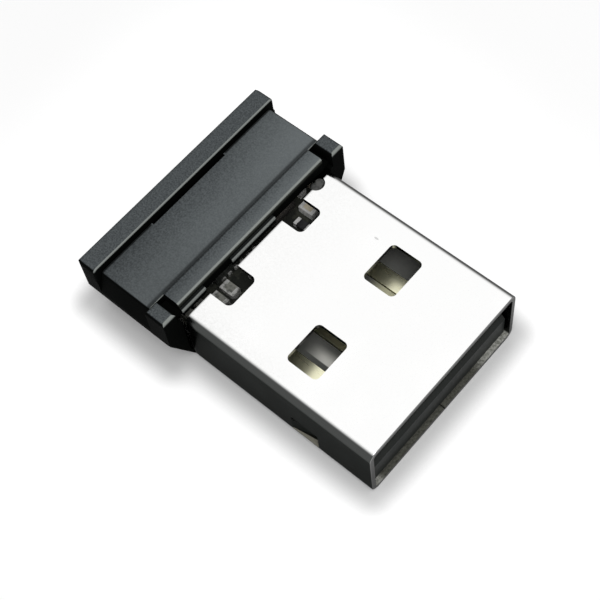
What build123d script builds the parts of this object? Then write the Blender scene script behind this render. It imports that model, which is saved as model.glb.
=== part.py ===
# A nano USB wireless receiver: a folded plug shell, a moulded tail and the small board inside.
# Millimetres. +X points out of the plug's mouth, +Y across the plug, +Z up, underside at Z = 0.
import os
from build123d import *

os.makedirs("parts", exist_ok=True)

# Plug shell, folded from one strip of sheet. Distances along the plug are measured from the mouth
sheet = 0.3
shell_width = 12.0
shell_height = 4.5
shell_corner = 0.55
shell_length = 12.63
mouth_rounding = 0.06
window_length = 2.1
window_width = 2.65
window_front = 4.86
window_offset = 3.08
window_corner = 0.3
notch_depth = 1.4
notch_corner = 0.35
left_notch_width = 2.2
left_notch_middle = -2.92
right_notch_width = 1.8
right_notch_middle = 2.67
scallop_radius = 0.5
scallop_middle = 4.78
scallop_overhang = 0.12

# Seam along the middle of the shell's bottom, locked by two dovetails
seam_gap = 0.06
dovetail_neck = 1.4
dovetail_head = 2.0
dovetail_depth = 1.0
dovetail_front = 2.6
dovetail_rear = 3.23

# Side slots with a locking tab bent inwards, and the rear legs soldered to the board
slot_front = 3.65
slot_length = 1.85
slot_bottom = 0.55
slot_height = 1.45
tab_height = 0.95
tab_lean = 0.28
tab_clearance = 0.12
leg_length = 3.0
leg_bottom = 0.9
leg_height = 1.8

# Contact carrier: tongue, rear block and the shelf under the board
tongue_recess = 0.26
tongue_rear_gap = 3.87
tongue_top = 2.25
tongue_side_clearance = 0.15
tongue_bevel = 0.22
block_length = 1.0
block_clearance = 0.02
block_corner = 0.35
shelf_length = 1.6
shelf_width = 9.0
pocket_depth = 0.3
pocket_clearance = 0.1

# Contacts: two long ones outside, two short ones inside
contact_width = 1.0
contact_tail_width = 0.6
contact_thickness = 0.25
contact_proud = 0.1
contact_nose = 0.18
contact_tail = 1.3
groove_clearance = 0.04
outer_contact = 3.5
inner_contact = 1.0
outer_contact_start = 1.2
inner_contact_start = 2.2

# Circuit board
board_thickness = 0.6
board_gap = 0.05
board_end_gap = 0.15
board_leg_gap = 0.05
board_corner = 0.4

# Moulded tail
collar_gap = 0.24
tail_length = 6.95
tail_overhang = 1.27
tail_bottom_draft = 0.8
widest_middle = 3.05
widest_flat = 0.5
tail_bottom_corner = 0.9
tail_side_rounding = 1.6
tail_top_corner = 0.3
rear_bulge = 0.51
rear_bulge_bottom = 0.45
rear_bulge_rounding = 1.5
rear_bottom_rounding = 0.8
rear_corner = 0.8
bevel_height = 2.9
bevel_length = 3.2
bevel_width = 0.6
waist_start = 3.2
waist_inset = 0.42
flange_height = 5.35
flange_thickness = 1.24
flange_edge = 0.14
cavity_room = 0.1
rear_wall = 0.7
floor = 0.45
cavity_corner = 0.6
sill_reach = 0.9
sill_root = 0.4
sill_half_width = 5.0
sill_thickness = 0.45
post_radius = 0.6
post_distance = 7.89
post_offset = 4.7
ledge_setback = 0.87
ledge_length = 2.0
ledge_width = 0.5

# Cover, bar and ears
cover_thickness = 0.66
band_drop = 0.49
band_edge = 0.28
cover_fit = 0.05
pry_slot_width = 5.8
pry_slot_depth = 0.18
bar_drop = 0.1
bar_length = 1.1
bar_end_gap = 0.53
bar_front_edge = 0.2
bar_rear_edge = 0.08
bar_gap = 0.28
groove_width = 0.12
groove_depth = 0.15
groove_rounding = 0.06
foot_height = 0.3
lip_length = 0.22
lip_drop = 0.57
lip_height = 0.48
lip_spans = ((-5.8, -4.0), (-1.87, 1.6))
ear_drop = 0.08
ear_width = 0.93
ear_length = 1.38
ear_edge = 0.25
latch_setback = 0.62
latch_length = 1.2
latch_gap = 0.15
latch_depth = 1.0
latch_thickness = 0.4
latch_barb = 0.2
latch_room = 0.08
hook_length = 0.35
hook_half_width = 5.2
hook_thickness = 0.4

# Parts on the board, each by its distance from the board's front edge
chip_distance = 5.74
chip_y = -0.9
chip_side = 3.5
chip_height = 0.85
chip_pad_length = 0.12
chip_pad_width = 0.25
chip_pad_height = 0.2
chip_pads_per_side = 6
chip_pad_pitch = 0.5
small_length = 1.0
small_width = 0.5
end_cap = 0.22
side_plate = 0.14
plated_capacitors = 2
crystal_distance = 5.24
crystal_y = 3.0
crystal_length = 2.5
crystal_width = 2.0
crystal_base_height = 0.35
crystal_lid_height = 0.2
crystal_lid_margin = 0.15
crystal_lid_corner = 0.2
regulator_distance = 6.09
regulator_y = -4.1
package_length = 2.9
package_width = 1.4
package_height = 1.0
package_chamfer = 0.08
memory_distance = 5.19
memory_y = 0.0
memory_height = 0.75
lead_length = 0.4
lead_width = 0.4
lead_height = 0.15
lead_pitch = 0.95
trace_distance = 8.14
trace_width = 0.25
trace_thickness = 0.05
trace_pitch = 0.75
trace_depth = 0.8
trace_runs = 13
solder_length = 0.45
leg_solder_width = 0.35
leg_solder_setback = 0.67
leg_solder_length = 1.7

# Small two-ended parts by kind: the height of the body, then each one's distance and Y
small_parts = (
    ("capacitors", 0.5, ((3.14, 4.22), (3.14, -2.41), (3.14, -3.3), (7.14, 2.5), (7.14, 3.5),
                         (3.79, -4.2), (3.79, -5.0), (4.59, 4.75))),
    ("resistors", 0.35, ((2.74, 3.15), (2.49, 0.95), (2.49, -0.95), (6.39, 4.75), (2.49, -4.9))),
    ("inductors", 0.45, ((4.79, 1.4), (6.39, 1.4), (3.14, 2.0))),
)

# Solder tack: its heights, and each lump's offset from the scallop and its radius
tack_drop = 0.04
tack_height = 0.44
tack_edge = 0.08
tack_lumps = ((-0.01, -0.16, 0.34), (0.03, 0.17, 0.29))

# Worked out from the driving dimensions
collar_front = shell_length + collar_gap
overall_length = collar_front + tail_length
flange_rear = overall_length - rear_bulge
flange_front = flange_rear - flange_thickness
mouth = overall_length / 2
shell_inside = shell_width / 2 - sheet
tail_half_width = shell_width / 2 + tail_overhang
tail_half_width_bottom = tail_half_width - tail_bottom_draft
widest_bottom = widest_middle - widest_flat / 2
widest_top = widest_middle + widest_flat / 2
band_height = flange_height - band_drop
bar_height = flange_height - bar_drop
ear_height = flange_height - ear_drop
lip_top = flange_height - lip_drop
lip_bottom = lip_top - lip_height
cover_seat = band_height - cover_thickness
latch_bottom = cover_seat - latch_depth
contact_floor = tongue_top + contact_proud - contact_thickness
board_top = contact_floor
board_bottom = board_top - board_thickness
tongue_end = shell_length - tongue_rear_gap
tongue_length = tongue_end - tongue_recess
block_end = tongue_end + block_length
board_front = block_end + board_gap
board_half_width = shell_inside - board_leg_gap
cavity_half_width = shell_width / 2 + cavity_room
cavity_rear = flange_rear - rear_wall
board_rear = cavity_rear - board_end_gap
ledge_inside = cavity_half_width - ledge_width
ear_inside = tail_half_width - ear_width
bar_half_width = ear_inside - bar_end_gap
ear_rear = collar_front + ear_length
reach = shell_width
bar_front = collar_front + bar_gap
bar_rear = bar_front + bar_length
cover_front = bar_rear + groove_width
cover_rear = flange_front - cover_fit
latch_rear = cover_rear - latch_setback
latch_front = latch_rear - latch_length
latch_outside = cavity_half_width - latch_gap
ledge_front = shell_length + ledge_setback
leg_solder_front = shell_length + leg_solder_setback
tack_top = shell_height - tack_drop


def back(distance):
    """The X of a point that lies this far behind the mouth."""
    return mouth - distance


def on_board(distance):
    """The X of a point that lies this far behind the board's front edge."""
    return back(board_front + distance)


def save(piece, name):
    """Labels a finished piece and writes it to its own file."""
    piece.label = name
    export_step(piece, f"parts/{name}.step")


def block(front, rear, left, right, bottom, top, mode=Mode.ADD):
    """A box between two distances from the mouth, two Y values and two heights."""
    middle = (back((front + rear) / 2), (left + right) / 2, (bottom + top) / 2)
    with Locations(middle):
        Box(rear - front, right - left, top - bottom, mode=mode)


# Plug shell: the folded tube
with BuildPart() as usb_shell:
    with BuildSketch(Plane.YZ.offset(back(shell_length))):
        with Locations((0, shell_height / 2)):
            RectangleRounded(shell_width, shell_height, shell_corner)
            RectangleRounded(
                shell_width - 2 * sheet,
                shell_height - 2 * sheet,
                shell_corner - sheet,
                mode=Mode.SUBTRACT,
            )
    extrude(amount=shell_length)
    rim = usb_shell.faces().sort_by(Axis.X)[-1].outer_wire().edges()
    fillet(rim, mouth_rounding)

    # Two windows in the top and two in the bottom
    window_middle = back(window_front + window_length / 2)
    with BuildSketch(Plane.XY):
        with Locations((window_middle, window_offset), (window_middle, -window_offset)):
            RectangleRounded(window_length, window_width, window_corner)
    extrude(amount=shell_height, mode=Mode.SUBTRACT)

    # Two notches in the rear edge of the top, rounded at their front corners
    with BuildSketch(Plane.XY.offset(shell_height / 2)):
        for middle, width in (
            (left_notch_middle, left_notch_width),
            (right_notch_middle, right_notch_width),
        ):
            with Locations((back(shell_length), middle)):
                RectangleRounded(2 * notch_depth, width, notch_corner)
        with Locations((back(shell_length + scallop_overhang), scallop_middle)):
            Circle(scallop_radius)
    extrude(amount=shell_height / 2, mode=Mode.SUBTRACT)


def male_half(mode=Mode.ADD):
    """The half of the shell's bottom that carries the dovetails, as a flat shape."""
    with Locations((back(shell_length / 2), -dovetail_depth)):
        Rectangle(shell_length + 2 * dovetail_depth, 2 * dovetail_depth, mode=mode)
    for distance in (dovetail_front, shell_length - dovetail_rear):
        x = back(distance)
        Polygon(
            (x - dovetail_neck / 2, 0),
            (x + dovetail_neck / 2, 0),
            (x + dovetail_head / 2, dovetail_depth),
            (x - dovetail_head / 2, dovetail_depth),
            align=None,
            mode=mode,
        )


# Plug shell: seam, side slots, locking tabs and legs
with usb_shell:
    with BuildSketch(Plane.XY.offset(-sheet)):
        male_half()
        offset(amount=seam_gap, kind=Kind.INTERSECTION)
        male_half(mode=Mode.SUBTRACT)
        with Locations((back(shell_length / 2), dovetail_depth)):
            Rectangle(shell_length, 4 * dovetail_depth, mode=Mode.INTERSECT)
    extrude(amount=2.5 * sheet, mode=Mode.SUBTRACT)

    slot_rear = slot_front + slot_length
    block(
        slot_front,
        slot_rear,
        -shell_width,
        shell_width,
        slot_bottom,
        slot_bottom + slot_height,
        mode=Mode.SUBTRACT,
    )
    outside = shell_width / 2
    tab_front = back(slot_front + tab_clearance)
    for side in (-1, 1):
        with BuildSketch(Plane.XY.offset(slot_bottom + tab_clearance)):
            Polygon(
                (back(slot_rear), side * outside),
                (tab_front, side * (outside - tab_lean)),
                (tab_front, side * (outside - tab_lean - sheet)),
                (back(slot_rear), side * (outside - sheet)),
                align=None,
            )
        extrude(amount=tab_height)
        near, far = sorted((side * shell_inside, side * outside))
        block(shell_length, shell_length + leg_length, near, far, leg_bottom, leg_bottom + leg_height)
save(usb_shell.part, "usb_shell")


contact_places = (
    ("contact_ground", -outer_contact, outer_contact_start),
    ("contact_data_plus", -inner_contact, inner_contact_start),
    ("contact_data_minus", inner_contact, inner_contact_start),
    ("contact_vbus", outer_contact, outer_contact_start),
)

# Contact carrier: tongue, rear block, shelf, contact grooves and pockets for the locking tabs
with BuildPart() as contact_carrier:
    tongue_half_width = shell_inside - tongue_side_clearance
    block_half_width = shell_inside - block_clearance
    with BuildSketch(Plane.XZ) as tongue_side:
        with Locations((back((tongue_recess + tongue_end) / 2), (sheet + tongue_top) / 2)):
            Rectangle(tongue_length, tongue_top - sheet)
        chamfer(tongue_side.vertices().group_by(Axis.X)[-1], tongue_bevel)
    extrude(amount=tongue_half_width, both=True)
    long_edges = contact_carrier.edges().filter_by(Axis.X)
    chamfer(long_edges.group_by(Axis.Z)[0], tongue_bevel)

    with BuildSketch(Plane.YZ.offset(back(block_end))):
        with Locations((0, shell_height / 2)):
            RectangleRounded(2 * block_half_width, shell_height - 2 * sheet, block_corner)
    extrude(amount=block_length)
    shelf_side = shelf_width / 2
    block(block_end, block_end + shelf_length, -shelf_side, shelf_side, sheet, board_bottom)

    for _, y, start in contact_places:
        half = contact_width / 2 + groove_clearance
        block(start - groove_clearance, tongue_end, y - half, y + half, contact_floor, tongue_top,
              mode=Mode.SUBTRACT)
        block(tongue_end, block_end, y - half, y + half, contact_floor,
              contact_floor + contact_thickness + groove_clearance, mode=Mode.SUBTRACT)
    for side in (-1, 1):
        near, far = sorted((side * (tongue_half_width - pocket_depth), side * shell_inside))
        block(slot_front - pocket_clearance, slot_rear + pocket_clearance, near, far,
              slot_bottom, tongue_top, mode=Mode.SUBTRACT)
save(contact_carrier.part, "contact_carrier")


# The four contacts: a wide blade on the tongue, and a narrow tail on the board
for name, y, start in contact_places:
    with BuildPart() as contact:
        contact_top = contact_floor + contact_thickness
        blade_half = contact_width / 2
        tail_half = contact_tail_width / 2
        block(start, tongue_end, y - blade_half, y + blade_half, contact_floor, contact_top)
        nose = contact.edges().filter_by(Axis.Y).group_by(Axis.X)[-1].sort_by(Axis.Z)[-1]
        fillet(nose, contact_nose)
        block(tongue_end, block_end + contact_tail, y - tail_half, y + tail_half,
              contact_floor, contact_top)
    save(contact.part, name)


# Circuit board
with BuildPart() as circuit_board:
    with BuildSketch(Plane.XY.offset(board_bottom)) as board_outline:
        with Locations((back((board_front + board_rear) / 2), 0)):
            Rectangle(board_rear - board_front, 2 * board_half_width)
        fillet(board_outline.vertices().group_by(Axis.X)[0], board_corner)
    extrude(amount=board_thickness)
save(circuit_board.part, "circuit_board")


# Outer form of the tail: widest at mid height, drawn in above and below, bulged at the rear
with BuildPart() as tail_form:
    with BuildSketch(Plane.YZ.offset(back(overall_length))) as section:
        Polygon(
            (-tail_half_width_bottom, 0),
            (tail_half_width_bottom, 0),
            (tail_half_width, widest_bottom),
            (tail_half_width, flange_height),
            (-tail_half_width, flange_height),
            (-tail_half_width, widest_bottom),
            align=None,
        )
        fillet(section.vertices().group_by(Axis.Y)[1], tail_side_rounding)
        fillet(section.vertices().group_by(Axis.Y)[0], tail_bottom_corner)
    extrude(amount=tail_length)
    with BuildSketch(Plane.XZ) as side_view:
        Polygon(
            (back(collar_front), 0),
            (back(collar_front), flange_height),
            (back(flange_rear), flange_height),
            (back(overall_length), widest_top),
            (back(overall_length), widest_bottom),
            (back(overall_length - rear_bulge_bottom), 0),
            align=None,
        )
        fillet(side_view.vertices().group_by(Axis.X)[0], rear_bulge_rounding)
        fillet(side_view.vertices().group_by(Axis.Y)[0].sort_by(Axis.X)[0], rear_bottom_rounding)
    extrude(amount=shell_width, both=True, mode=Mode.INTERSECT)
    with BuildSketch(Plane.XY) as plan:
        with Locations((back(overall_length - tail_length / 2), 0)):
            Rectangle(tail_length, 2 * tail_half_width)
        fillet(plan.vertices().group_by(Axis.X)[0], rear_corner)
    extrude(amount=flange_height, mode=Mode.INTERSECT)

    # A flat bevel across each lower front corner
    for side in (-1, 1):
        edge = side * tail_half_width
        bevel = Plane(
            Face(Wire.make_polygon([
                (back(collar_front), edge, bevel_height),
                (back(collar_front + bevel_length), side * tail_half_width_bottom, 0),
                (back(collar_front), side * (tail_half_width_bottom - bevel_width), 0),
            ]))
        )
        split(bisect_by=bevel, keep=Keep.TOP if bevel.z_dir.X < 0 else Keep.BOTTOM)

# Waist: beside the cover the sides lean in more than at the flange and the ears
with BuildPart() as waist:
    with BuildSketch(Plane.YZ.offset(back(flange_front))):
        for side in (-1, 1):
            Polygon(
                (side * tail_half_width, waist_start),
                (side * (tail_half_width + waist_inset), flange_height),
                (side * (tail_half_width - waist_inset), band_height),
                align=None,
            )
    extrude(amount=flange_front - ear_rear)


# Housing body: a tub with the end flange, side walls and ears
with BuildPart() as housing_body:
    add(tail_form.part)
    block(ear_rear, flange_front, -reach, reach, cover_seat, flange_height, mode=Mode.SUBTRACT)
    block(collar_front, ear_rear, -ear_inside, ear_inside, cover_seat, flange_height,
          mode=Mode.SUBTRACT)
    block(collar_front, ear_rear, -reach, reach, ear_height, flange_height, mode=Mode.SUBTRACT)
    ear_top = housing_body.faces().filter_by(Axis.Z).filter_by_position(Axis.Z, ear_height, ear_height)
    fillet(ear_top.edges(), ear_edge)
    flange_top = housing_body.faces().filter_by(Axis.Z).sort_by(Axis.Z)[-1]
    top_edges = flange_top.edges().sort_by(Axis.X)
    fillet(top_edges[:-1], tail_top_corner)
    front_edge = housing_body.faces().filter_by(Axis.Z).sort_by(Axis.Z)[-1].edges().sort_by(Axis.X)[-1]
    fillet(front_edge, flange_edge)

    add(waist.part, mode=Mode.SUBTRACT)

    # Cavity, open to the front for the plug and to the top for the cover
    with BuildSketch(Plane.YZ.offset(back(cavity_rear))) as cavity:
        with Locations((0, (floor + cover_seat) / 2)):
            Rectangle(2 * cavity_half_width, cover_seat - floor)
        fillet(cavity.vertices().group_by(Axis.Y)[0], cavity_corner)
    extrude(amount=cavity_rear - collar_front, mode=Mode.SUBTRACT)

    # Sill that reaches into the shell and rests on its bottom
    block(shell_length - sill_reach, collar_front + sill_root, -sill_half_width, sill_half_width,
          sheet, sheet + sill_thickness)

    # Posts under the board, ledges under the shell's legs, and pockets for the cover's latches
    with BuildSketch(Plane.XY.offset(floor)):
        x = on_board(post_distance)
        with Locations((x, post_offset), (x, -post_offset)):
            Circle(post_radius)
    extrude(amount=board_bottom - floor)
    for side in (-1, 1):
        near, far = sorted((side * ledge_inside, side * cavity_half_width))
        block(ledge_front, ledge_front + ledge_length, near, far, floor / 2, leg_bottom)
        near, far = sorted((side * cavity_half_width, side * (latch_outside + latch_barb + latch_room)))
        block(latch_front - latch_room, latch_rear + latch_room, near, far,
              latch_bottom - latch_room, latch_bottom + 2 * latch_barb, mode=Mode.SUBTRACT)
save(housing_body.part, "housing_body")


# Top cover: the band that follows the tail's sides, then the bar, its foot and the front lips
with BuildPart() as top_cover:
    add(tail_form.part)
    block(cover_front, cover_rear, -reach, reach, cover_seat, band_height, mode=Mode.INTERSECT)
    add(waist.part, mode=Mode.SUBTRACT)
    band_top = top_cover.faces().sort_by(Axis.Z)[-1]
    fillet(band_top.edges().filter_by(Axis.X), band_edge)
    band_top = top_cover.faces().filter_by(Axis.Z).sort_by(Axis.Z)[-1]
    fillet(band_top.edges().filter_by(Axis.Y), groove_rounding)
    block(cover_rear - pry_slot_depth, cover_rear, -pry_slot_width / 2, pry_slot_width / 2,
          cover_seat, band_height, mode=Mode.SUBTRACT)

with BuildPart() as cover_bar:
    block(bar_front, bar_rear, -bar_half_width, bar_half_width, cover_seat, bar_height)
    bar_top = cover_bar.faces().sort_by(Axis.Z)[-1].edges().sort_by(Axis.X)
    fillet(bar_top[-1], bar_front_edge)
    bar_top = cover_bar.faces().filter_by(Axis.Z).sort_by(Axis.Z)[-1].edges().sort_by(Axis.X)
    fillet(bar_top[0], bar_rear_edge)

with top_cover:
    add(cover_bar.part)
    foot_half_width = ear_inside - cover_fit
    block(bar_front, bar_rear, -foot_half_width, foot_half_width, cover_seat,
          cover_seat + foot_height)
    block(bar_rear, cover_front, -bar_half_width, bar_half_width, cover_seat,
          band_height - groove_depth)
    for left, right in lip_spans:
        block(bar_front - lip_length, bar_front, left, right, lip_bottom, lip_top)

    # Rear tongue that hooks under the flange, and the two latches
    block(cover_rear - hook_length, cover_rear + hook_length, -hook_half_width, hook_half_width,
          cover_seat - hook_thickness, cover_seat)
    for side in (-1, 1):
        with BuildSketch(Plane.YZ.offset(back(latch_rear))):
            Polygon(
                (side * (latch_outside - latch_thickness), cover_seat),
                (side * latch_outside, cover_seat),
                (side * latch_outside, latch_bottom + latch_barb),
                (side * (latch_outside + latch_barb), latch_bottom + latch_barb),
                (side * latch_outside, latch_bottom),
                (side * (latch_outside - latch_thickness), latch_bottom),
                align=None,
            )
        extrude(amount=latch_rear - latch_front)
save(top_cover.part, "top_cover")


# Solder tack in the scallop, shaped by the edge that it sits on
with BuildPart() as solder_tack:
    with BuildSketch(Plane.XY.offset(tack_top - tack_height)):
        for setback, y, radius in tack_lumps:
            with Locations((back(shell_length + setback), scallop_middle + y)):
                Circle(radius)
        with Locations((back(shell_length + scallop_overhang), scallop_middle)):
            Circle(scallop_radius, mode=Mode.INTERSECT)
    extrude(amount=tack_height)
    fillet(solder_tack.faces().sort_by(Axis.Z)[-1].edges(), tack_edge)
save(solder_tack.part, "solder_tack")


# Solder where the contacts and the shell's legs meet the board
with BuildPart() as contact_solder:
    tail_end = block_end + contact_tail
    for _, y, _ in contact_places:
        with BuildSketch(Plane.XZ.offset(-y)):
            Polygon(
                (back(tail_end), board_top),
                (back(tail_end), board_top + contact_thickness),
                (back(tail_end + solder_length), board_top),
                align=None,
            )
        extrude(amount=contact_tail_width / 2, both=True)
save(contact_solder.part, "contact_solder")

with BuildPart() as leg_solder:
    with BuildSketch(Plane.YZ.offset(back(leg_solder_front + leg_solder_length))):
        for side in (-1, 1):
            Polygon(
                (side * (shell_inside - leg_solder_width), board_top),
                (side * shell_inside, board_top),
                (side * shell_inside, board_top + leg_solder_width),
                align=None,
            )
    extrude(amount=leg_solder_length)
save(leg_solder.part, "leg_solder")


def place(distance, y, length, width, height, mode=Mode.ADD):
    """A box that stands on the board, by its middle."""
    with Locations((on_board(distance), y, board_top + height / 2)):
        Box(length, width, height, mode=mode)


# Radio chip with a row of pads along each side
with BuildPart() as radio_chip:
    place(chip_distance, chip_y, chip_side, chip_side, chip_height)
save(radio_chip.part, "radio_chip")

with BuildPart() as radio_chip_pads:
    pad_middle = (chip_side + chip_pad_length) / 2
    chip_middle = Location((on_board(chip_distance), chip_y, board_top + chip_pad_height / 2))
    with Locations(chip_middle):
        for turn in range(4):
            with Locations(Location((0, 0, 0), (0, 0, 90 * turn))):
                with Locations((pad_middle, 0)):
                    with GridLocations(0, chip_pad_pitch, 1, chip_pads_per_side):
                        Box(chip_pad_length, chip_pad_width, chip_pad_height)
save(radio_chip_pads.part, "radio_chip_pads")


# Crystal: a base and its smaller lid
with BuildPart() as crystal_base:
    place(crystal_distance, crystal_y, crystal_length, crystal_width, crystal_base_height)
save(crystal_base.part, "crystal_base")

with BuildPart() as crystal_lid:
    with BuildSketch(Plane.XY.offset(board_top + crystal_base_height)):
        with Locations((on_board(crystal_distance), crystal_y)):
            RectangleRounded(
                crystal_length - 2 * crystal_lid_margin,
                crystal_width - 2 * crystal_lid_margin,
                crystal_lid_corner,
            )
    extrude(amount=crystal_lid_height)
save(crystal_lid.part, "crystal_lid")


# Voltage regulator on top of the board, and its leads
with BuildPart() as voltage_regulator:
    place(regulator_distance, regulator_y, package_length, package_width, package_height)
    top_edges = voltage_regulator.faces().sort_by(Axis.Z)[-1].edges()
    chamfer(top_edges, package_chamfer)
save(voltage_regulator.part, "voltage_regulator")

with BuildPart() as regulator_leads:
    lead_middle = (package_width + lead_length) / 2
    with Locations((on_board(regulator_distance), regulator_y, board_top + lead_height / 2)):
        with Locations((0, lead_middle)):
            Box(lead_width, lead_length, lead_height)
        for step in (-lead_pitch, lead_pitch):
            with Locations((step, -lead_middle)):
                Box(lead_width, lead_length, lead_height)
save(regulator_leads.part, "regulator_leads")


# Memory chip and its leads, hung under the board
with BuildPart() as memory_chip:
    with Locations((on_board(memory_distance), memory_y, board_bottom - memory_height / 2)):
        Box(package_length, package_width, memory_height)
    chamfer(memory_chip.faces().sort_by(Axis.Z)[0].edges(), package_chamfer)
save(memory_chip.part, "memory_chip")

with BuildPart() as memory_chip_leads:
    with Locations((on_board(memory_distance), memory_y, board_bottom - lead_height / 2)):
        for step in (-lead_pitch, 0, lead_pitch):
            with Locations((step, lead_middle), (step, -lead_middle)):
                Box(lead_width, lead_length, lead_height)
save(memory_chip_leads.part, "memory_chip_leads")


# Small two-ended parts: the bodies of each kind, then all their end caps
for name, height, places in small_parts:
    with BuildPart() as bodies:
        for distance, y in places:
            place(distance, y, small_length - 2 * end_cap, small_width, height)
    save(bodies.part, name)

with BuildPart() as chip_end_caps:
    for _, height, places in small_parts:
        for distance, y in places:
            for end in (-1, 1):
                place(distance + end * (small_length - end_cap) / 2, y, end_cap,
                      small_width, height)
    _, height, places = small_parts[0]
    for distance, y in places[:plated_capacitors]:
        place(distance, y - (small_width + side_plate) / 2, small_length, side_plate, height)
save(chip_end_caps.part, "chip_end_caps")


# Antenna: a strip that runs to and fro along the rear edge of the board
with BuildPart() as antenna_trace:
    with BuildSketch(Plane.XY.offset(board_top)):
        first = -trace_pitch * (trace_runs - 1) / 2
        for run in range(trace_runs):
            y = first + run * trace_pitch
            with Locations((on_board(trace_distance), y)):
                Rectangle(trace_depth, trace_width)
            if run < trace_runs - 1:
                end = trace_distance + (trace_depth - trace_width) / 2 * (-1) ** run
                with Locations((on_board(end), y + trace_pitch / 2)):
                    Rectangle(trace_width, trace_pitch + trace_width)
    extrude(amount=trace_thickness)
save(antenna_trace.part, "antenna_trace")
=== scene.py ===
# Nano wireless receiver: the dressed model, its studio and its camera. Metres, Z up.
import math
import bpy
from mathutils import Matrix, Vector

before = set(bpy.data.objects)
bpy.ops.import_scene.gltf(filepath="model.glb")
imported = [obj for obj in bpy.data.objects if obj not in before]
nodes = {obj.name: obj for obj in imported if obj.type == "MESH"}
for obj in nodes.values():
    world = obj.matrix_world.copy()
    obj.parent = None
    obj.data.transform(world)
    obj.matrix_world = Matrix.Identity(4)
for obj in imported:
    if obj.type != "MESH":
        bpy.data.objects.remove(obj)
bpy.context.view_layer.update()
mm = 0.001

# camera, as the photograph was taken: lengths in mm, angles in degrees
viewpoint = {
    "place": (27.5035, -23.5916, 66.4078),
    "azimuth": 50.138,
    "elevation": 61.139,
    "roll": -10.276,
    "lens": 80.577,
    "sensor": 36,
    "shift": (0.00759, 0.00876),  # in sensor widths
    "nearClip": 2,
}
az, el, roll = (math.radians(viewpoint[k]) for k in ("azimuth", "elevation", "roll"))
backward = Vector((math.sin(az) * math.cos(el), -math.cos(az) * math.cos(el), math.sin(el)))
level = Vector((math.cos(az), math.sin(az), 0))
rise = backward.cross(level)
right = level * math.cos(roll) + rise * math.sin(roll)
up = rise * math.cos(roll) - level * math.sin(roll)
cameraData = bpy.data.cameras.new("camera")
cameraData.lens = viewpoint["lens"]
cameraData.sensor_width = viewpoint["sensor"]
cameraData.shift_x, cameraData.shift_y = viewpoint["shift"]
cameraData.clip_start = viewpoint["nearClip"] * mm
camera = bpy.data.objects.new("camera", cameraData)
turn = Matrix((right, up, backward)).transposed().to_4x4()
camera.matrix_world = Matrix.Translation(Vector(viewpoint["place"]) * mm) @ turn
bpy.context.scene.collection.objects.link(camera)
bpy.context.scene.camera = camera
bpy.context.scene.view_settings.view_transform = "Standard"
print("camera set")


# node helpers
def newMaterial(name):
    material = bpy.data.materials.new(name)
    material.use_nodes = True
    tree = material.node_tree
    return material, tree, tree.nodes["Principled BSDF"]


def addNode(tree, kind, values=None, **settings):
    node = tree.nodes.new(kind)
    for key, value in settings.items():
        setattr(node, key, value)
    for key, value in (values or {}).items():
        node.inputs[key].default_value = value
    return node


def link(tree, source, target):
    tree.links.new(source, target)


def newGroup(name, inputs, outputs):
    group = bpy.data.node_groups.new(name, "ShaderNodeTree")
    for label, kind, value in inputs:
        socket = group.interface.new_socket(label, in_out="INPUT", socket_type=kind)
        socket.default_value = value
    for label, kind in outputs:
        group.interface.new_socket(label, in_out="OUTPUT", socket_type=kind)
    return group, group.nodes.new("NodeGroupInput"), group.nodes.new("NodeGroupOutput")


def placeGroup(tree, group, values=None):
    node = tree.nodes.new("ShaderNodeGroup")
    node.node_tree = group
    for key, value in (values or {}).items():
        node.inputs[key].default_value = value
    return node


def maths(tree, operation, first, second=None, clamp=False):
    node = addNode(tree, "ShaderNodeMath", operation=operation, use_clamp=clamp)
    for index, value in enumerate((first, second)):
        if value is None:
            continue
        if isinstance(value, (int, float)):
            node.inputs[index].default_value = value
        else:
            link(tree, value, node.inputs[index])
    return node.outputs[0]


def span(tree, value, low, high, outLow=0.0, outHigh=1.0):
    node = addNode(tree, "ShaderNodeMapRange", {1: low, 2: high, 3: outLow, 4: outHigh})
    node.interpolation_type = "SMOOTHSTEP"
    link(tree, value, node.inputs[0])
    return node.outputs[0]


# the same step between two places in mm
def reach(tree, value, start, end, outLow=0.0, outHigh=1.0):
    return span(tree, value, start * mm, end * mm, outLow, outHigh)


def product(tree, *masks):
    result = masks[0]
    for mask in masks[1:]:
        result = maths(tree, "MULTIPLY", result, mask)
    return result


# each limit is an axis and its step in mm; the mask is full where all of them are
def within(tree, place, limits):
    return product(tree, *(reach(tree, place[axis], *step) for axis, *step in limits))


def blendColour(tree, factor, first, second):
    node = addNode(tree, "ShaderNodeMix", data_type="RGBA")
    sockets = [s for s in node.inputs if s.enabled]
    for socket, value in zip(sockets, (factor, first, second)):
        if isinstance(value, (int, float)):
            socket.default_value = value
        elif isinstance(value, tuple):
            socket.default_value = (*value, 1)
        else:
            link(tree, value, socket)
    return [s for s in node.outputs if s.enabled][0]


# distance in mm
def bumpFrom(tree, height, strength, distance, shader):
    bump = addNode(tree, "ShaderNodeBump", {"Strength": strength, "Distance": distance * mm})
    link(tree, height, bump.inputs["Height"])
    link(tree, bump.outputs[0], shader.inputs["Normal"])


def varyRoughness(tree, mask, limits, shader):
    smooth, rough = limits
    spread = maths(tree, "MULTIPLY", mask, rough - smooth)
    link(tree, maths(tree, "ADD", spread, smooth), shader.inputs["Roughness"])


def axesOf(tree, output):
    place = addNode(tree, "ShaderNodeTexCoord")
    split = addNode(tree, "ShaderNodeSeparateXYZ")
    link(tree, place.outputs[output], split.inputs[0])
    return split.outputs


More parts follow.
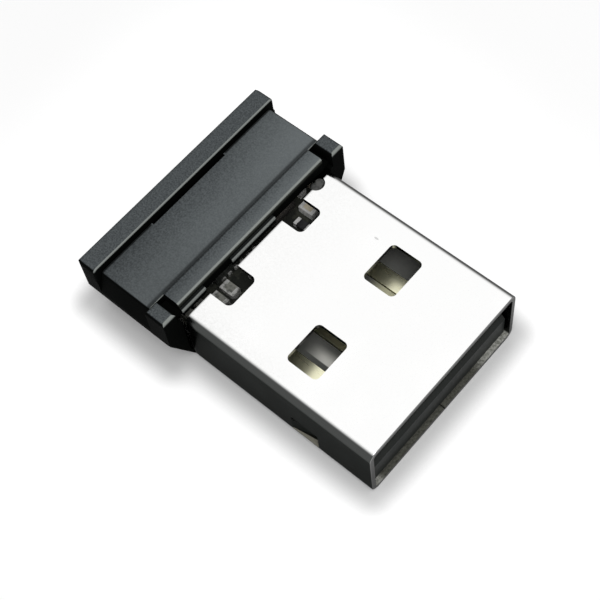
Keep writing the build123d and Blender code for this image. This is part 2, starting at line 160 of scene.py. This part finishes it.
# effect groups: speckle, streaks and soft patches, all in the model's own space
def buildSpeckle():
    group, enter, leave = newGroup(
        "speckle",
        (("Scale", "NodeSocketFloat", 9000), ("Contrast", "NodeSocketFloat", 1)),
        (("Mask", "NodeSocketFloat"), ("Height", "NodeSocketFloat")),
    )
    place = addNode(group, "ShaderNodeTexCoord")
    fine = addNode(group, "ShaderNodeTexNoise", {"Detail": 2, "Roughness": 0.6})
    link(group, place.outputs["Object"], fine.inputs["Vector"])
    link(group, enter.outputs["Scale"], fine.inputs["Scale"])
    centred = maths(group, "SUBTRACT", fine.outputs[0], 0.5)
    spread = maths(group, "MULTIPLY", centred, enter.outputs["Contrast"])
    link(group, maths(group, "ADD", spread, 0.5, clamp=True), leave.inputs["Mask"])
    link(group, fine.outputs[0], leave.inputs["Height"])
    return group


def buildStreaks():
    group, enter, leave = newGroup(
        "streaks",
        (("Stretch", "NodeSocketVector", (300, 9000, 9000)), ("Sharpness", "NodeSocketFloat", 1)),
        (("Mask", "NodeSocketFloat"), ("Height", "NodeSocketFloat")),
    )
    place = addNode(group, "ShaderNodeTexCoord")
    scaled = addNode(group, "ShaderNodeVectorMath", operation="MULTIPLY")
    link(group, place.outputs["Object"], scaled.inputs[0])
    link(group, enter.outputs["Stretch"], scaled.inputs[1])
    lines = addNode(group, "ShaderNodeTexNoise", {"Scale": 1, "Detail": 3, "Roughness": 0.7})
    link(group, scaled.outputs[0], lines.inputs["Vector"])
    centred = maths(group, "SUBTRACT", lines.outputs[0], 0.5)
    spread = maths(group, "MULTIPLY", centred, enter.outputs["Sharpness"])
    link(group, maths(group, "ADD", spread, 0.5, clamp=True), leave.inputs["Mask"])
    link(group, lines.outputs[0], leave.inputs["Height"])
    return group


def buildPatches():
    group, enter, leave = newGroup(
        "patches",
        (("Scale", "NodeSocketFloat", 400), ("Low", "NodeSocketFloat", 0.4),
         ("High", "NodeSocketFloat", 0.7)),
        (("Mask", "NodeSocketFloat"),),
    )
    place = addNode(group, "ShaderNodeTexCoord")
    cloud = addNode(group, "ShaderNodeTexNoise", {"Detail": 3, "Roughness": 0.55})
    link(group, place.outputs["Object"], cloud.inputs["Vector"])
    link(group, enter.outputs["Scale"], cloud.inputs["Scale"])
    ramp = addNode(group, "ShaderNodeMapRange", interpolation_type="SMOOTHSTEP")
    link(group, cloud.outputs[0], ramp.inputs[0])
    link(group, enter.outputs["Low"], ramp.inputs[1])
    link(group, enter.outputs["High"], ramp.inputs[2])
    link(group, ramp.outputs[0], leave.inputs["Mask"])
    return group


# painted light on the tops and painted highlights on the rims turned to the mouth; Height is
# where the painted light starts, in metres
litTopsLook = {
    "blur": 0.03,            # mm above and below Height
    "levelBlur": 0.1,        # of the normal's upward part
    "turned": (0.30, 0.54),  # of its part towards the mouth
    "raised": (0.10, 0.60),  # and again upward, for a rim
}


def buildLitTopsAndRims():
    group, enter, leave = newGroup(
        "litTopsAndRims",
        (("Height", "NodeSocketFloat", 0.0), ("Flat", "NodeSocketFloat", 0.8)),
        (("Top", "NodeSocketFloat"), ("Rim", "NodeSocketFloat")),
    )
    facing = axesOf(group, "Normal")
    place = axesOf(group, "Object")
    blur, levelBlur = litTopsLook["blur"], litTopsLook["levelBlur"]
    above = maths(group, "SUBTRACT", place["Z"], enter.outputs["Height"])
    high = reach(group, above, -blur, blur)
    flat = maths(group, "SUBTRACT", facing["Z"], enter.outputs["Flat"])
    level = span(group, flat, -levelBlur, levelBlur)
    link(group, product(group, high, level), leave.inputs["Top"])
    rim = product(group, high, span(group, facing["X"], *litTopsLook["turned"]),
                  span(group, facing["Z"], *litTopsLook["raised"]))
    link(group, rim, leave.inputs["Rim"])
    return group


speckle = buildSpeckle()
streaks = buildStreaks()
patches = buildPatches()
litTopsAndRims = buildLitTopsAndRims()
print("effect groups built")


# which way a surface faces, as steps in one part of its normal
facingSteps = {
    "across": (-0.4, 0.4),    # near side to far side
    "end": (0.5, 0.9),        # mouth or tail, either way
    "level": (0.85, 1.0),     # top or underside
    "upward": (0.2, 0.6),
    "sill": (0.8, 0.95),
    "mouthward": (0.8, 1.0),
    "tailward": (-0.4, -0.95),
}


# plug shell: bright nickel plate over a fine grain; walls, cut ends and inside are painted darker
# as shade; places are in mm
shellLook = {
    "top": (0.985, 0.985, 0.980),
    # painted shade: walls and cut ends darker than the top, the near wall darkest
    "nearWall": (0.066, 0.069, 0.067),
    "farWallShade": (0.14, 0.14, 0.138),
    "cutEnd": (0.26, 0.26, 0.258),
    "inside": (0.15, 0.155, 0.15),
    "insideLimits": (("Z", 4.2, 3.8), ("X", 9.95, 9.7)),
    "litMouthFloor": ((0.045, 0.046, 0.038), (0.13, 0.13, 0.11)),  # painted light on the floor of the mouth
    "litMouthEnds": ((0.13, 0.135, 0.115), (0.56, 0.56, 0.52)),    # palest towards its ends
    "mouthLimits": (("Z", 1.2, 0.9), ("X", 9.4, 9.6)),
    "endSteps": ((2.6, 4.0), (-4.9, -5.4)),
    "slotSill": (0.24, 0.23, 0.19),
    "sillLimits": (("Z", 1.2, 0.9),),
    "sillBeyond": (5.5, 5.6),                  # from the middle, to either side
    "mouthAndSillMetallic": 0.1,
    "dull": (0.62, 0.62, 0.60),
    "rearSpecks": (2.2, -2.2, 0.03, 0.15),     # along, and the share of specks at each end
    "edgeSpecks": (-4.3, -5.5, 0.0, 0.16),     # across, and their share
    "edgeLimits": (("X", 6.0, 0.0),),
    "scratch": ((2.05, 4.08), (0.15, 0.065)),  # its middle and its half sizes
    "scratchStep": (1.3, 0.4, 0.0, 0.42),      # in half sizes, and its strength
    "rearEdgeShade": (-2.62, -2.72, 0.0, 0.6),    # painted shade along the sheared rear edge: along, and how dark at each end
    "grain": {"Scale": 9000, "Contrast": 2.2},
    "rolling": {"Stretch": (900, 9000, 9000), "Sharpness": 1.5},
    "worn": {"Scale": 350, "Low": 0.35, "High": 0.75},
    "roughness": (0.16, 0.28),
    "edgeTint": (0.33, 0.33, 0.33),
    "bump": (0.06, 0.03),                      # strength, and its distance
}


def scratchMask(tree, place):
    squares = []
    for axis, middle, half in zip("XY", *shellLook["scratch"]):
        offset = maths(tree, "SUBTRACT", place[axis], middle * mm)
        offset = maths(tree, "DIVIDE", offset, half * mm)
        squares.append(maths(tree, "MULTIPLY", offset, offset))
    return span(tree, maths(tree, "ADD", *squares), *shellLook["scratchStep"])


def makeShellNickel():
    material, tree, shader = newMaterial("shellNickel")
    facing = axesOf(tree, "Normal")
    place = axesOf(tree, "Object")
    grain = placeGroup(tree, speckle, shellLook["grain"])
    rolled = placeGroup(tree, streaks, shellLook["rolling"])
    worn = placeGroup(tree, patches, shellLook["worn"])
    # painted shade: walls darker than the top, the near wall darkest, and the cut ends
    side = span(tree, facing["Y"], *facingSteps["across"])
    wall = blendColour(tree, side, shellLook["nearWall"], shellLook["farWallShade"])
    cut = span(tree, maths(tree, "ABSOLUTE", facing["X"]), *facingSteps["end"])
    wall = blendColour(tree, cut, wall, shellLook["cutEnd"])
    flat = span(tree, maths(tree, "ABSOLUTE", facing["Z"]), *facingSteps["level"])
    plate = blendColour(tree, flat, wall, shellLook["top"])
    # painted shade on the inside of the folded sheet
    upward = span(tree, facing["Z"], *facingSteps["upward"])
    innerShade = product(tree, within(tree, place, shellLook["insideLimits"]), upward)
    plate = blendColour(tree, innerShade, plate, shellLook["inside"])
    # painted light, paler and less metallic, on the floor of the mouth; darker and less metallic
    # on the sills of the side slots
    mouth = product(tree, within(tree, place, shellLook["mouthLimits"]), upward)
    floorTone = blendColour(tree, grain.outputs["Mask"], *shellLook["litMouthFloor"])
    endTone = blendColour(tree, grain.outputs["Mask"], *shellLook["litMouthEnds"])
    ends = maths(tree, "ADD", *(reach(tree, place["Y"], *s) for s in shellLook["endSteps"]))
    plate = blendColour(tree, mouth, plate, blendColour(tree, ends, floorTone, endTone))
    beyond = reach(tree, maths(tree, "ABSOLUTE", place["Y"]), *shellLook["sillBeyond"])
    sill = product(tree, within(tree, place, shellLook["sillLimits"]), beyond,
                   span(tree, facing["Z"], *facingSteps["sill"]))
    plate = blendColour(tree, sill, plate, shellLook["slotSill"])
    lessMetal = maths(tree, "MAXIMUM", mouth, sill)
    plated = maths(tree, "SUBTRACT", 1.0,
                   maths(tree, "MULTIPLY", lessMetal, 1 - shellLook["mouthAndSillMetallic"]))
    link(tree, plated, shader.inputs["Metallic"])
    # plating rubbed dull in specks, most towards the tail and along the near edge
    rear = reach(tree, place["X"], *shellLook["rearSpecks"])
    edge = product(tree, reach(tree, place["Y"], *shellLook["edgeSpecks"]),
                   within(tree, place, shellLook["edgeLimits"]))
    specks = product(tree, grain.outputs["Mask"], maths(tree, "ADD", rear, edge),
                     maths(tree, "SUBTRACT", flat, lessMetal, clamp=True))
    tone = blendColour(tree, specks, plate, shellLook["dull"])
    # one small scratch near the far window
    scratched = product(tree, scratchMask(tree, place),
                        span(tree, facing["Z"], *facingSteps["level"]))
    tone = blendColour(tree, scratched, tone, shellLook["cutEnd"])
    # painted shade: a thin dark line along the sheared rear edge
    tone = blendColour(tree, reach(tree, place["X"], *shellLook["rearEdgeShade"]), tone,
                       shellLook["cutEnd"])
    link(tree, tone, shader.inputs["Base Color"])
    shader.inputs["Specular Tint"].default_value = (*shellLook["edgeTint"], 1)
    varyRoughness(tree, worn.outputs["Mask"], shellLook["roughness"], shader)
    mixed = maths(tree, "ADD", grain.outputs["Height"], rolled.outputs["Height"])
    bumpFrom(tree, mixed, *shellLook["bump"], shader)
    return material


# tail: black plastic with a fine eroded texture; tops painted lighter and sides painted
# near-black as light falls; places in mm
tailLook = {
    # painted shade: the near-black of the sides
    "side": (0.0024, 0.0027, 0.0025),
    "top": (0.050, 0.056, 0.059),
    "light": (0.098, 0.109, 0.113),
    "pale": (0.176, 0.194, 0.199),
    # painted light on the bar's front face
    "front": (0.030, 0.032, 0.027),
    "rear": ((0.006, 0.0065, 0.006), (0.017, 0.018, 0.0175)),
    # painted highlight on rims and lip edges
    "rim": (0.250, 0.266, 0.254),
    "housingHeight": 4.98,  # above the step that takes the cover
    "coverHeight": 4.775,   # above the groove between bar and band
    "flat": 0.8,
    "grain": {"Scale": 11000, "Contrast": 3.2},
    "handled": {"Scale": 260, "Low": 0.3, "High": 0.8},
    "roughness": (0.54, 0.66),
    "specular": 0.004,
    "bump": (0.35, 0.02),   # strength, and its distance
}
coverMarks = {
    "bandPale": (("X", -8.2, -5.0, 0.0, 0.42), ("X", -4.37, -4.43)),
    "barPale": (("X", -4.3, -3.3, 0.0, 0.42),),
    # painted light along the far side, painted shade along the near side
    "farLight": (("Y", 0.0, 7.0, 0.0, 0.22),),
    "nearDark": (("Y", 0.0, -6.0, 0.0, 0.16),),
    # painted shade: dark lines in the creases where bar, flat and flange meet
    "bandShadeLine": (("X", -4.78, -4.62), ("X", -4.41, -4.45)),
    "barShadeLine": (("X", -4.33, -4.30), ("X", -4.19, -4.25)),
    "shadeLineStrength": 0.62,
    # painted shade: a dark line where the flat meets the flange, except at the pry slot
    "footShadeLine": (("X", -7.94, -8.02),),
    "footBeyond": (2.95, 3.05, 0.0, 0.85),  # the pry slot lies between
    # painted light on the bar's front face, painted shade on the lips' tops, painted highlights
    # on their front edges
    "litBarFace": (("Z", 4.8, 5.1),),
    "lipTopShade": (("X", -3.26, -3.22), ("Z", 4.90, 4.84, 0.0, 0.85)),
    "lipEdgeHighlight": (("X", -3.12, -3.06), ("Z", 4.52, 4.68, 0.0, 0.9)),
}


# paler towards the plug, on the flat and on the bar; painted light along the far side and painted
# shade along the near side
def shadeCover(tree, place, tone):
    masks = [within(tree, place, coverMarks[n]) for n in ("bandPale", "barPale", "farLight")]
    drift = maths(tree, "ADD", maths(tree, "ADD", masks[0], masks[1]), masks[2])
    tone = blendColour(tree, drift, tone, tailLook["pale"])
    tone = blendColour(tree, within(tree, place, coverMarks["nearDark"]), tone, tailLook["side"])
    # painted shade: dark lines in the creases where bar, flat and flange meet
    lines = maths(tree, "ADD", within(tree, place, coverMarks["bandShadeLine"]),
                  within(tree, place, coverMarks["barShadeLine"]))
    lines = maths(tree, "MULTIPLY", lines, coverMarks["shadeLineStrength"])
    tone = blendColour(tree, lines, tone, tailLook["side"])
    # painted shade: a dark line where the flat meets the flange, except at the pry slot
    beyond = reach(tree, maths(tree, "ABSOLUTE", place["Y"]), *coverMarks["footBeyond"])
    footShade = product(tree, within(tree, place, coverMarks["footShadeLine"]), beyond)
    return blendColour(tree, footShade, tone, tailLook["side"])


# painted light: the bar's front face is greyer than the other sides; painted shade on the lips'
# tops and painted highlights on their front edges
def shadeCoverFront(tree, place, facing, tone):
    litFace = product(tree, span(tree, facing["X"], *facingSteps["mouthward"]),
                   within(tree, place, coverMarks["litBarFace"]))
    tone = blendColour(tree, litFace, tone, tailLook["front"])
    tone = blendColour(tree, within(tree, place, coverMarks["lipTopShade"]), tone, tailLook["side"])
    return blendColour(tree, within(tree, place, coverMarks["lipEdgeHighlight"]), tone, tailLook["rim"])


def makeTailPlastic(name, height, isCover):
    material, tree, shader = newMaterial(name)
    place = axesOf(tree, "Object")
    facing = axesOf(tree, "Normal")
    grain = placeGroup(tree, speckle, tailLook["grain"])
    cloud = placeGroup(tree, patches, tailLook["handled"])
    rubbed = placeGroup(tree, litTopsAndRims, {"Height": height * mm, "Flat": tailLook["flat"]})
    tone = blendColour(tree, grain.outputs["Mask"], tailLook["top"], tailLook["light"])
    if isCover:
        tone = shadeCover(tree, place, tone)
    # the rear, held between two fingers, is a little greyer than the sides, whose near-black is
    # painted shade
    held = blendColour(tree, grain.outputs["Mask"], *tailLook["rear"])
    tailward = span(tree, facing["X"], *facingSteps["tailward"])
    sideShadeAndRear = blendColour(tree, tailward, tailLook["side"], held)
    # painted light: tops take the lit tone, the other faces the painted shade
    tone = blendColour(tree, rubbed.outputs["Top"], sideShadeAndRear, tone)
    # painted highlights on the rims turned to the mouth
    tone = blendColour(tree, rubbed.outputs["Rim"], tone, tailLook["rim"])
    if isCover:
        tone = shadeCoverFront(tree, place, facing, tone)
    link(tree, tone, shader.inputs["Base Color"])
    shader.inputs["Specular IOR Level"].default_value = tailLook["specular"]
    varyRoughness(tree, cloud.outputs["Mask"], tailLook["roughness"], shader)
    bumpFrom(tree, grain.outputs["Height"], *tailLook["bump"], shader)
    return material


# contact carrier: dark grey insulator, smooth on top, with painted light there: paler on top,
# palest under the windows; places in mm
carrierLook = {
    "side": (0.015, 0.017, 0.016),
    "foreTop": (0.034, 0.036, 0.034),
    "top": (0.125, 0.127, 0.120),
    "topHeight": 0.6,
    "topFlat": 0.7,
    "windowLightLimits": (("X", 6.8, 5.6),),  # painted light: the top is paler under the windows only
    "reflectionStrips": (                        # across; painted reflection, pale beside two contacts
        ((-2.66, -1.70), (0.80, 0.79, 0.74)),
        ((2.50, 3.60), (0.86, 0.84, 0.58)),
    ),
    "stripAlong": (2.4, 4.0),          # where they start and where they are palest
    "stripEdge": 0.04,
    "stripFade": 0.15,
    "lip": ((0.10, 0.105, 0.085), (0.40, 0.40, 0.36)),  # painted light on the lower front edge at its far end
    "litLipLimits": (("Z", 0.50, 0.40), ("X", 9.0, 9.4), ("Y", 2.6, 4.2, 0.0, 0.8)),
    "stain": (0.0225, 0.0255, 0.024),
    "stainStrength": 0.25,
    "worn": {"Scale": 500, "Low": 0.4, "High": 0.7},
    "grain": {"Scale": 7000, "Contrast": 1.6},
    "roughness": (0.30, 0.40),
    "specular": 0.03,
    "bump": (0.08, 0.01),              # strength, and its distance
}


def makeCarrierPlastic():
    material, tree, shader = newMaterial("carrierPlastic")
    worn = placeGroup(tree, patches, carrierLook["worn"])
    grain = placeGroup(tree, speckle, carrierLook["grain"])
    rubbed = placeGroup(tree, litTopsAndRims, {"Height": carrierLook["topHeight"] * mm,
                                     "Flat": carrierLook["topFlat"]})
    place = axesOf(tree, "Object")
    along = reach(tree, place["X"], *carrierLook["stripAlong"])
    edge, fade = carrierLook["stripEdge"], carrierLook["stripFade"]
    upper = carrierLook["top"]
    # painted reflection: pale strips beside two contacts
    for (first, last), colour in carrierLook["reflectionStrips"]:
        strip = product(tree, reach(tree, place["Y"], first - edge, first + edge),
                        reach(tree, place["Y"], last, first + fade), along)
        upper = blendColour(tree, strip, upper, colour)
    # painted light: the top paler than the sides, palest under the windows
    base = blendColour(tree, rubbed.outputs["Top"], carrierLook["side"], carrierLook["foreTop"])
    windowLight = product(tree, rubbed.outputs["Top"], within(tree, place, carrierLook["windowLightLimits"]))
    tone = blendColour(tree, windowLight, base, upper)
    stained = maths(tree, "MULTIPLY", worn.outputs["Mask"], carrierLook["stainStrength"])
    tone = blendColour(tree, stained, tone, carrierLook["stain"])
    # painted light on the lower front edge at its far end
    litLipTone = blendColour(tree, grain.outputs["Mask"], *carrierLook["lip"])
    tone = blendColour(tree, within(tree, place, carrierLook["litLipLimits"]), tone, litLipTone)
    link(tree, tone, shader.inputs["Base Color"])
    shader.inputs["Specular IOR Level"].default_value = carrierLook["specular"]
    varyRoughness(tree, worn.outputs["Mask"], carrierLook["roughness"], shader)
    bumpFrom(tree, grain.outputs["Height"], *carrierLook["bump"], shader)
    return material


# contacts: pale gold plate with a rubbed track down the middle
goldLook = {
    "fresh": (0.97, 0.94, 0.60),
    "rubbed": (1.0, 0.99, 0.80),
    "track": {"Stretch": (500, 7000, 7000), "Sharpness": 0.5},
    "roughness": (0.23, 0.33),
    "bump": (0.02, 0.01),
}


def makeGoldPlate():
    material, tree, shader = newMaterial("goldPlate")
    track = placeGroup(tree, streaks, goldLook["track"])
    tone = blendColour(tree, track.outputs["Mask"], goldLook["fresh"], goldLook["rubbed"])
    link(tree, tone, shader.inputs["Base Color"])
    shader.inputs["Metallic"].default_value = 1
    varyRoughness(tree, track.outputs["Mask"], goldLook["roughness"], shader)
    bumpFrom(tree, track.outputs["Height"], *goldLook["bump"], shader)
    return material


# board: near-black mask with copper pours showing through
boardLook = {
    "mask": (0.024, 0.026, 0.022),
    "copper": (0.048, 0.050, 0.040),
    "pours": {"Scale": 900, "Low": 0.48, "High": 0.52},
    "weave": {"Scale": 5000, "Contrast": 1},
    "roughness": (0.45, 0.60),
    "specular": 0.25,
    "bump": (0.3, 0.02),
}


def makeBoardMask():
    material, tree, shader = newMaterial("boardMask")
    pours = placeGroup(tree, patches, boardLook["pours"])
    weave = placeGroup(tree, speckle, boardLook["weave"])
    tone = blendColour(tree, pours.outputs["Mask"], boardLook["mask"], boardLook["copper"])
    link(tree, tone, shader.inputs["Base Color"])
    shader.inputs["Specular IOR Level"].default_value = boardLook["specular"]
    varyRoughness(tree, weave.outputs["Mask"], boardLook["roughness"], shader)
    bumpFrom(tree, pours.outputs["Mask"], *boardLook["bump"], shader)
    return material


# small parts: tin, epoxy, ceramics and solder; each has two colours in its mottle, and near
# gives darker ones, painted shade, for the pieces on the near side
smallLook = {
    "tinPlate": {"colours": ((0.97, 0.97, 0.95), (0.84, 0.84, 0.82)), "metal": 0.1,
                 "roughness": 0.35, "mottle": 3800,
                 "near": ((0.66, 0.66, 0.64), (0.16, 0.16, 0.15))},
    "solderJoint": {"colours": ((0.66, 0.66, 0.65), (0.46, 0.46, 0.45)), "metal": 1,
                    "roughness": 0.25, "mottle": 2500},
    "tackSolder": {"colours": ((0.016, 0.017, 0.016), (0.060, 0.060, 0.057)), "metal": 0.1,
                   "roughness": 0.35, "mottle": 4200},
    "epoxyBlack": {"colours": ((0.030, 0.033, 0.030), (0.060, 0.066, 0.058)), "metal": 0,
                   "roughness": 0.5, "mottle": 2500},
    "ceramicBeige": {"colours": ((0.88, 0.80, 0.62), (0.72, 0.64, 0.48)), "metal": 0,
                     "roughness": 0.4, "mottle": 2500,
                     "near": ((0.30, 0.30, 0.27), (0.14, 0.145, 0.13))},
    "ceramicBlack": {"colours": ((0.028, 0.028, 0.030), (0.048, 0.048, 0.050)), "metal": 0,
                     "roughness": 0.3, "mottle": 2500},
    "ceramicBlue": {"colours": ((0.09, 0.12, 0.16), (0.06, 0.09, 0.12)), "metal": 0,
                    "roughness": 0.35, "mottle": 2500},
    "ceramicBrown": {"colours": ((0.046, 0.042, 0.038), (0.030, 0.028, 0.026)), "metal": 0,
                     "roughness": 0.5, "mottle": 2500},
    "canMetal": {"colours": ((0.70, 0.68, 0.62), (0.56, 0.54, 0.49)), "metal": 1,
                 "roughness": 0.3, "mottle": 2500},
    "maskedCopper": {"colours": ((0.060, 0.070, 0.052), (0.080, 0.088, 0.066)), "metal": 0,
                     "roughness": 0.3, "mottle": 2500},
}
smallFinish = {
    "mottleSteps": (0.42, 0.66),
    "grain": {"Scale": 8000, "Contrast": 1},
    "roughnessSpread": (-0.07, 0.08),
    "bump": (0.12, 0.02),
    "farSide": (("Y", -0.5, 0.5),),  # mm
}


def makeSmall(name):
    look = smallLook[name]
    material, tree, shader = newMaterial(name)
    place = axesOf(tree, "Object")
    low, high = smallFinish["mottleSteps"]
    mottle = placeGroup(tree, patches, {"Scale": look["mottle"], "Low": low, "High": high})
    tone = blendColour(tree, mottle.outputs["Mask"], *look["colours"])
    # painted shade: darker copies for the pieces on the near side
    if "near" in look:
        nearTone = blendColour(tree, mottle.outputs["Mask"], *look["near"])
        far = within(tree, place, smallFinish["farSide"])
        tone = blendColour(tree, far, nearTone, tone)
    link(tree, tone, shader.inputs["Base Color"])
    shader.inputs["Metallic"].default_value = look["metal"]
    grain = placeGroup(tree, speckle, smallFinish["grain"])
    limits = [look["roughness"] + part for part in smallFinish["roughnessSpread"]]
    varyRoughness(tree, grain.outputs["Mask"], limits, shader)
    bumpFrom(tree, grain.outputs["Height"], *smallFinish["bump"], shader)
    return material


nickel = makeShellNickel()
housingPlastic = makeTailPlastic("housingPlastic", tailLook["housingHeight"], False)
coverPlastic = makeTailPlastic("coverPlastic", tailLook["coverHeight"], True)
carrierPlastic = makeCarrierPlastic()
goldPlate = makeGoldPlate()
boardMask = makeBoardMask()
small = {name: makeSmall(name) for name in smallLook}
print("materials built")

dressing = {
    "usb_shell": nickel,
    "housing_body": housingPlastic,
    "top_cover": coverPlastic,
    "contact_carrier": carrierPlastic,
    "contact_vbus": goldPlate,
    "contact_data_minus": goldPlate,
    "contact_data_plus": goldPlate,
    "contact_ground": goldPlate,
    "contact_solder": small["solderJoint"],
    "leg_solder": small["solderJoint"],
    "solder_tack": small["tackSolder"],
    "circuit_board": boardMask,
    "radio_chip": small["epoxyBlack"],
    "radio_chip_pads": small["tinPlate"],
    "memory_chip": small["epoxyBlack"],
    "memory_chip_leads": small["tinPlate"],
    "voltage_regulator": small["epoxyBlack"],
    "regulator_leads": small["tinPlate"],
    "crystal_base": small["ceramicBrown"],
    "crystal_lid": small["canMetal"],
    "capacitors": small["ceramicBeige"],
    "resistors": small["ceramicBlack"],
    "inductors": small["ceramicBlue"],
    "chip_end_caps": small["tinPlate"],
    "antenna_trace": small["maskedCopper"],
}
for name, material in dressing.items():
    for slot in nodes[name].material_slots:
        slot.material = material
print("frame dressed")

# studio: white floor that keeps the contact shadow, soft light from above, white surroundings
studio = {
    "floorSize": 0.6,                     # m
    "floorColour": (0.70, 0.70, 0.70),
    "floorRoughness": 0.9,
    "floorSpecular": 0.1,
    "floorDrop": 0.01,                    # mm, so that floor and underside don't share a plane
    "contact": 0.04,                      # mm, within it the underside looks past the floor
    "footprints": (                       # mm, middle x and y, half length and half width
        (3.4, 0.0, 6.5, 6.0),             # plug
        (-6.7, 0.0, 3.2, 7.15),           # tail
    ),
    "footprintBlend": 1.6,                # mm, how round the two shadows join
    "shadowStep": (0.1, 1.9, 0.0, 0.50),  # mm from a footprint, and the lift at each
    "fadeStep": (2.0, 16.0, 1.0, 0.66),   # mm, and the share of that lift which stays
    "farStep": (60, 240, 0.0, 0.30),      # mm, and what the far floor has on top
    "fill": 0.60,                         # the sky's strength on the object
    "keyPower": 0.22,                     # W
    "keySize": 0.16,                      # m
    "keyDistance": 0.22,                  # m
    "keyTowards": (0.34, -0.26, 0.90),
}


def distanceFrom(tree, place, footprint):
    squares = []
    for axis, middle, half in zip("XY", footprint[:2], footprint[2:]):
        offset = maths(tree, "SUBTRACT", place[axis], middle * mm)
        beyond = maths(tree, "SUBTRACT", maths(tree, "ABSOLUTE", offset), half * mm)
        squares.append(maths(tree, "POWER", maths(tree, "MAXIMUM", beyond, 0.0), 2.0))
    return maths(tree, "SQRT", maths(tree, "ADD", *squares))


# camera, gloss and transmission rays see white surroundings; the others get the fill alone
def seeingRays(tree, rays):
    seen = maths(tree, "MAXIMUM", rays.outputs["Is Camera Ray"], rays.outputs["Is Glossy Ray"])
    return maths(tree, "MAXIMUM", seen, rays.outputs["Is Transmission Ray"])


def makeFloor():
    mesh = bpy.data.meshes.new("floor")
    half = studio["floorSize"] / 2
    low = -studio["floorDrop"] * mm
    corners = [(-half, -half, low), (half, -half, low), (half, half, low), (-half, half, low)]
    mesh.from_pydata(corners, [], [(0, 1, 2, 3)])
    floor = bpy.data.objects.new("floor", mesh)
    bpy.context.scene.collection.objects.link(floor)
    material, tree, shader = newMaterial("paleFloor")
    shader.inputs["Base Color"].default_value = (*studio["floorColour"], 1)
    shader.inputs["Roughness"].default_value = studio["floorRoughness"]
    shader.inputs["Specular IOR Level"].default_value = studio["floorSpecular"]
    shader.inputs["Emission Color"].default_value = (1, 1, 1, 1)
    place = axesOf(tree, "Object")
    joined = addNode(tree, "ShaderNodeMath", {2: studio["footprintBlend"] * mm},
                     operation="SMOOTH_MIN")
    for index, footprint in enumerate(studio["footprints"]):
        link(tree, distanceFrom(tree, place, footprint), joined.inputs[index])
    away = joined.outputs[0]
    lift = product(tree, reach(tree, away, *studio["shadowStep"]),
                   reach(tree, away, *studio["fadeStep"]))
    lift = maths(tree, "ADD", lift, reach(tree, away, *studio["farStep"]))
    rays = addNode(tree, "ShaderNodeLightPath")
    link(tree, product(tree, seeingRays(tree, rays), lift), shader.inputs["Emission Strength"])
    # from below the floor is left out, and the underside is lit
    below = addNode(tree, "ShaderNodeNewGeometry").outputs["Backfacing"]
    touching = maths(tree, "LESS_THAN", rays.outputs["Ray Length"], studio["contact"] * mm)
    hidden = maths(tree, "MAXIMUM", below, touching)
    link(tree, maths(tree, "SUBTRACT", 1.0, hidden), shader.inputs["Alpha"])
    mesh.materials.append(material)


def makeSky():
    world = bpy.data.worlds.new("sky")
    bpy.context.scene.world = world
    world.use_nodes = True
    tree = world.node_tree
    sky = tree.nodes["Background"]
    sky.inputs[0].default_value = (1, 1, 1, 1)
    seen = seeingRays(tree, addNode(tree, "ShaderNodeLightPath"))
    lifted = maths(tree, "MULTIPLY", seen, 1 - studio["fill"])
    link(tree, maths(tree, "ADD", lifted, studio["fill"]), sky.inputs[1])


def makeKey():
    lamp = bpy.data.lights.new("key", "AREA")
    lamp.shape = "SQUARE"
    lamp.size = studio["keySize"]
    lamp.energy = studio["keyPower"]
    key = bpy.data.objects.new("key", lamp)
    towards = Vector(studio["keyTowards"]).normalized()
    key.location = towards * studio["keyDistance"]
    key.rotation_euler = towards.to_track_quat("Z", "Y").to_euler()
    bpy.context.scene.collection.objects.link(key)


makeFloor()
makeSky()
makeKey()
print("studio lit")

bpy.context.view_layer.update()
